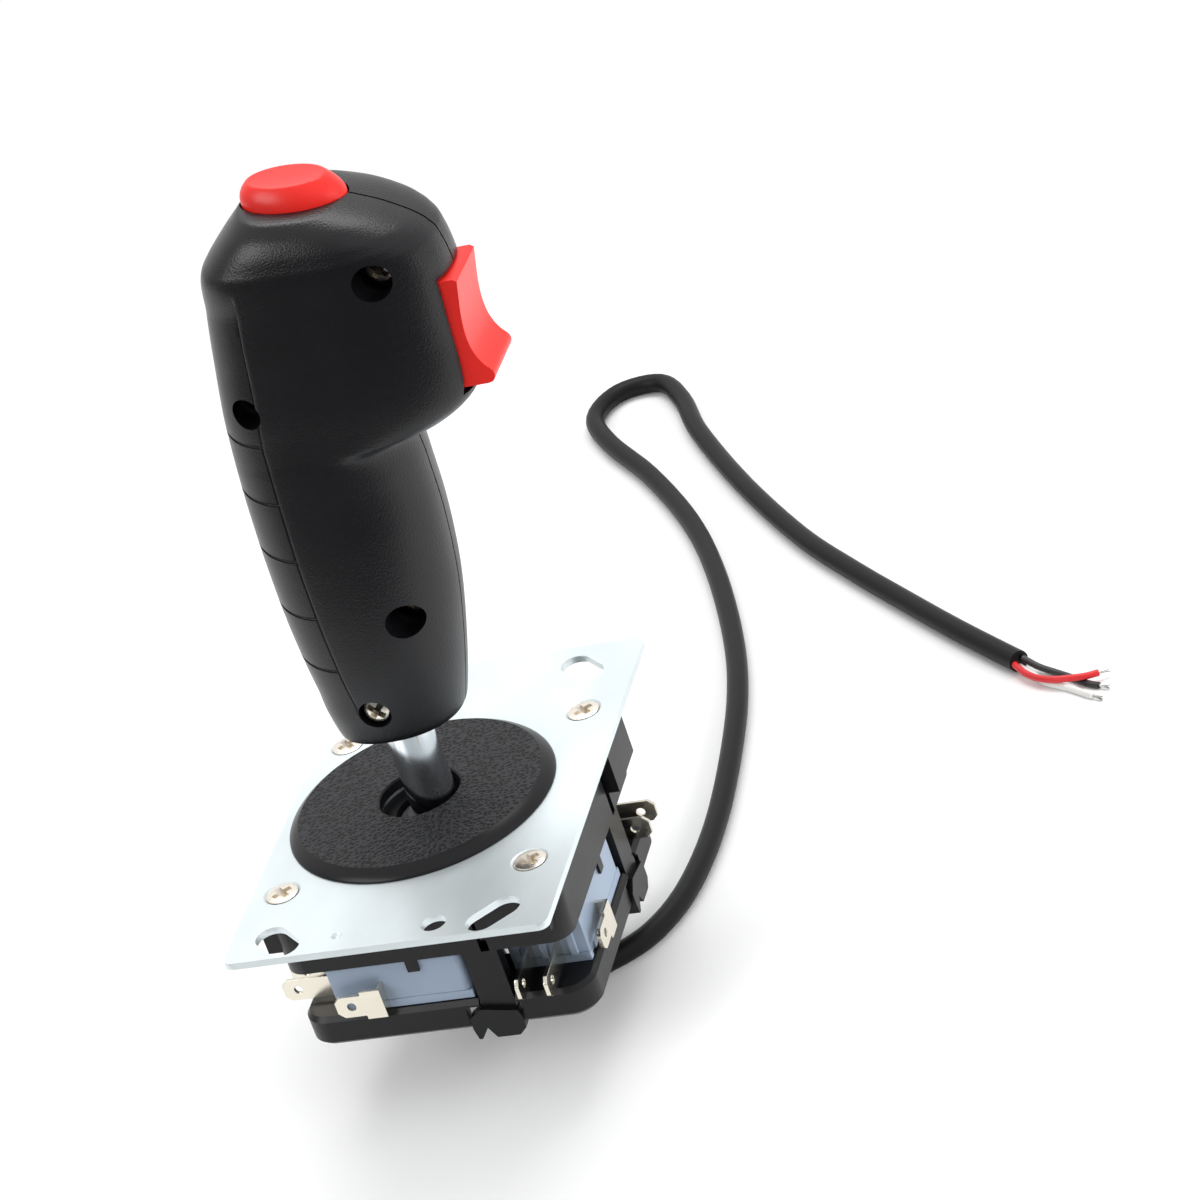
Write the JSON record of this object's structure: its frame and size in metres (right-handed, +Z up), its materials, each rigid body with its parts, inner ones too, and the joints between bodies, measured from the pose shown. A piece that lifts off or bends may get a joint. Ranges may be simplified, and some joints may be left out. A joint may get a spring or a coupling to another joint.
{
  "type": "arcade flight joystick",
  "caption": "Panel-mounted joystick with a pistol grip, trigger and thumb button on a tilting shaft over a square switch base, and a trailing cable.",
  "frame": {"origin": "on the shaft axis at the top face of the mounting plate", "axes": "+X the way the trigger faces, +Z up along the shaft, plate in XY"},
  "size_m": [0.1508, 0.3124, 0.186],
  "materials": {
    "zinc_plate": "bright zinc plate",
    "screw_steel": "nickel plate",
    "disc_plastic": "grained top, smooth bevel",
    "housing_plastic": "moulded, semi-gloss",
    "switch_plastic": "moulded grey-blue",
    "terminal_metal": "tinned",
    "plunger_plastic": "moulded",
    "bush_nylon": "natural nylon",
    "actuator_nylon": "moulded",
    "plated_steel": "bright plate",
    "spring_steel": "drawn wire",
    "grip_plastic": "fine spark-eroded grain",
    "red_plastic": "moulded",
    "mini_switch": "moulded",
    "cable_pvc": "satin extruded",
    "core_red": "extruded",
    "core_black": "extruded",
    "core_white": "extruded",
    "tinned_copper": "tinned strands"
  },
  "bodies": {
    "base": {"mounting_plate": "zinc_plate", "plate_screws": "screw_steel", "upper_housing": "housing_plastic", "bottom_frame": "housing_plastic", "switch_case_front": "switch_plastic", "switch_cover_front": "switch_plastic", "switch_terminals_front": "terminal_metal", "switch_case_right": "switch_plastic", "switch_cover_right": "switch_plastic", "switch_terminals_right": "terminal_metal", "switch_case_back": "switch_plastic", "switch_cover_back": "switch_plastic", "switch_terminals_back": "terminal_metal", "switch_case_left": "switch_plastic", "switch_cover_left": "switch_plastic", "switch_terminals_left": "terminal_metal", "cable": "cable_pvc", "core_red": "core_red", "core_black": "core_black", "core_white": "core_white", "core_tips": "tinned_copper"},
    "dust_disc": {"dust_disc": "disc_plastic"},
    "pivot_bush": {"pivot_bush": "bush_nylon"},
    "stick": {"pivot_ball": "actuator_nylon", "shaft": "plated_steel", "centring_spring": "spring_steel", "actuator": "actuator_nylon", "retaining_clip": "spring_steel", "grip_right": "grip_plastic", "grip_left": "grip_plastic", "grip_screws": "screw_steel", "trigger_pin": "plated_steel", "trigger_spring": "spring_steel", "trigger_switch": "mini_switch", "button_spring": "spring_steel", "button_switch": "mini_switch", "shaft_lead": "cable_pvc", "grip_wires": "core_red"},
    "trigger": {"trigger": "red_plastic"},
    "trigger_plunger": {"trigger_switch_plunger": "plunger_plastic"},
    "thumb_button": {"thumb_button": "red_plastic"},
    "button_plunger": {"button_switch_plunger": "plunger_plastic"},
    "plunger_front": {"switch_plunger_front": "plunger_plastic"},
    "plunger_right": {"switch_plunger_right": "plunger_plastic"},
    "plunger_back": {"switch_plunger_back": "plunger_plastic"},
    "plunger_left": {"switch_plunger_left": "plunger_plastic"}
  },
  "joints": [
    {"name": "tilt_fore_aft", "type": "hinge", "parent": "base", "child": "pivot_bush", "pos_m": [0, 0, -0.005], "axis": [0, 1, 0], "range_deg": [-8, 8], "stiffness_Nm_per_rad": 2, "deforming": ["centring_spring", "cable"]},
    {"name": "tilt_side", "type": "hinge", "parent": "pivot_bush", "child": "stick", "pos_m": [0, 0, -0.005], "axis": [1, 0, 0], "range_deg": [-8, 8], "stiffness_Nm_per_rad": 2, "deforming": ["centring_spring", "cable"]},
    {"name": "disc_slide", "type": "slide", "parent": "base", "child": "dust_disc", "axis": [1, 0, 0], "range_m": [-0.0012, 0.0012]},
    {"name": "trigger_pull", "type": "hinge", "parent": "stick", "child": "trigger", "pos_m": [0.0335, 0, 0.1074], "axis": [0, 1, 0], "range_deg": [0, 6], "stiffness_Nm_per_rad": 0.3, "deforming": ["trigger_spring"]},
    {"name": "trigger_plunger_slide", "type": "slide", "parent": "stick", "child": "trigger_plunger", "axis": [-1, 0, 0], "range_m": [0, 0.001]},
    {"name": "thumb_press", "type": "slide", "parent": "stick", "child": "thumb_button", "axis": [0, 0, -1], "range_m": [0, 0.0018], "stiffness_N_per_m": 600, "deforming": ["button_spring"]},
    {"name": "button_plunger_slide", "type": "slide", "parent": "stick", "child": "button_plunger", "axis": [0, 0, -1], "range_m": [0, 0.0012]},
    {"name": "plunger_front_slide", "type": "slide", "parent": "base", "child": "plunger_front", "axis": [0, -1, 0], "range_m": [0, 0.0009], "stiffness_N_per_m": 1500},
    {"name": "plunger_right_slide", "type": "slide", "parent": "base", "child": "plunger_right", "axis": [1, 0, 0], "range_m": [0, 0.0009], "stiffness_N_per_m": 1500},
    {"name": "plunger_back_slide", "type": "slide", "parent": "base", "child": "plunger_back", "axis": [0, 1, 0], "range_m": [0, 0.0009], "stiffness_N_per_m": 1500},
    {"name": "plunger_left_slide", "type": "slide", "parent": "base", "child": "plunger_left", "axis": [-1, 0, 0], "range_m": [0, 0.0009], "stiffness_N_per_m": 1500}
  ],
  "couplings": [
    {"joint": "disc_slide", "follows": "tilt_fore_aft", "m_per_rad": 0.006},
    {"joint": "trigger_plunger_slide", "follows": "trigger_pull", "m_per_rad": 0.0086},
    {"joint": "button_plunger_slide", "follows": "thumb_press", "ratio": 0.611}
  ]
}
